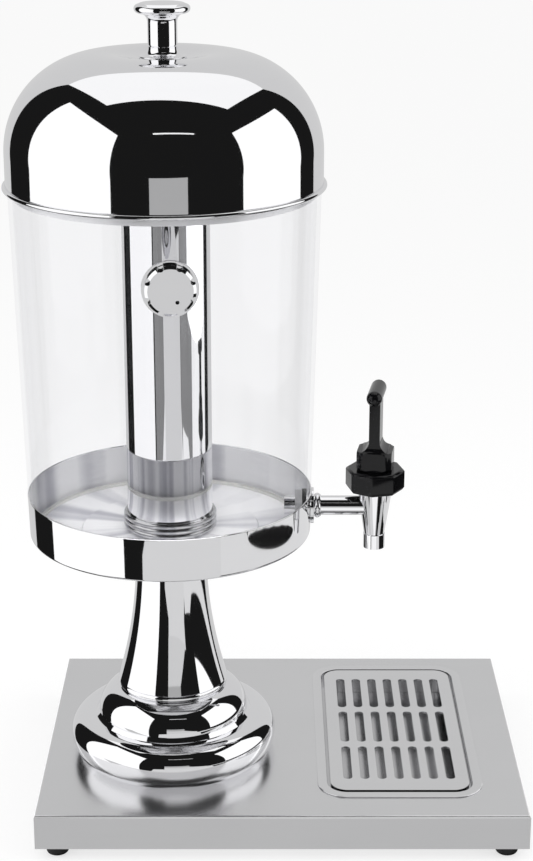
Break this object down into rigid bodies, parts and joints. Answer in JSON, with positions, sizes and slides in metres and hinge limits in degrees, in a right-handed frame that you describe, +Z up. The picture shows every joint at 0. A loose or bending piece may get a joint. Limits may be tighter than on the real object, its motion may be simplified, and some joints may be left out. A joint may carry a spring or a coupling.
{
  "type": "juice dispenser",
  "caption": "Table-top juice dispenser: clear tapered container with an ice tube and domed lid on a spun pedestal, with a lever tap over a drip tray in the base plate.",
  "frame": {"origin": "middle of the whole outline, on the table under the rubber feet", "axes": "+Z up, +X to the right past the tap, +Y from the front knob towards the back"},
  "size_m": [0.3676, 0.2647, 0.584],
  "materials": {
    "mirror_steel": "mirror-polished stainless steel",
    "satin_steel": "fine satin stainless sheet",
    "zinc_steel": "plain bright hardware",
    "clear_wall": "clear moulded plastic, smooth",
    "black_plastic": "glossy moulded black",
    "black_rubber": "matt black rubber",
    "white_silicone": "matt milky silicone"
  },
  "bodies": {
    "stand": {"base_plate": "satin_steel", "rubber_feet": "black_rubber", "foot_screws": "zinc_steel", "foot_nuts": "zinc_steel", "pedestal_foot": "mirror_steel", "pedestal_ring": "mirror_steel", "pedestal_neck": "mirror_steel", "pan_support": "satin_steel", "tie_rod": "zinc_steel", "backing_plate": "zinc_steel", "rod_washer": "zinc_steel", "rod_nut": "zinc_steel", "container_pan": "mirror_steel", "pan_seal": "white_silicone", "container_wall": "clear_wall", "socket_seal": "black_rubber", "tube_socket": "satin_steel", "front_seat": "mirror_steel", "front_stud": "zinc_steel", "front_washer": "black_rubber", "tap_body": "mirror_steel", "tap_washer": "mirror_steel", "tap_collar": "mirror_steel", "tap_seal": "black_rubber", "tap_lock_nut": "zinc_steel", "tap_bonnet": "black_plastic", "tap_spring": "zinc_steel"},
    "lid": {"lid_dome": "mirror_steel", "lid_skirt": "satin_steel", "lid_knob_base": "mirror_steel", "lid_knob": "mirror_steel", "lid_knob_screw": "zinc_steel", "lid_knob_washer": "zinc_steel"},
    "ice_tube": {"ice_tube": "mirror_steel"},
    "drip_pan": {"drip_pan": "satin_steel"},
    "drip_grille": {"drip_grille": "satin_steel"},
    "front_knob": {"front_knob": "mirror_steel"},
    "tap_stem": {"tap_stem": "zinc_steel", "tap_seat_cup": "white_silicone"},
    "tap_lever": {"tap_lever": "black_plastic", "lever_pin": "zinc_steel"}
  },
  "joints": [
    {"name": "lid_lift", "type": "slide", "parent": "stand", "child": "lid", "axis": [0, 0, 1], "range_m": [0, 0.15]},
    {"name": "ice_tube_lift", "type": "slide", "parent": "stand", "child": "ice_tube", "axis": [0, 0, 1], "range_m": [0, 0.07]},
    {"name": "drip_pan_lift", "type": "slide", "parent": "stand", "child": "drip_pan", "axis": [0, 0, 1], "range_m": [0, 0.06]},
    {"name": "drip_grille_lift", "type": "slide", "parent": "drip_pan", "child": "drip_grille", "axis": [0, 0, 1], "range_m": [0, 0.05]},
    {"name": "front_knob_turn", "type": "hinge", "parent": "stand", "child": "front_knob", "pos_m": [-0.06401, -0.1273, 0.41503], "axis": [0.0732, -0.9973, 0], "continuous": true},
    {"name": "tap_stem_lift", "type": "slide", "parent": "stand", "child": "tap_stem", "axis": [0, 0, 1], "range_m": [0, 0.0074], "deforming": ["tap_spring"]},
    {"name": "tap_lever_tilt", "type": "hinge", "parent": "tap_stem", "child": "tap_lever", "pos_m": [0.07598, -0.0156, 0.26283], "axis": [0.165, 0.9863, 0], "range_deg": [0, 35], "stiffness_Nm_per_rad": 0.4, "springref_deg": -17.19}
  ],
  "couplings": [
    {"joint": "tap_stem_lift", "follows": "tap_lever_tilt", "m_per_rad": 0.0118}
  ]
}
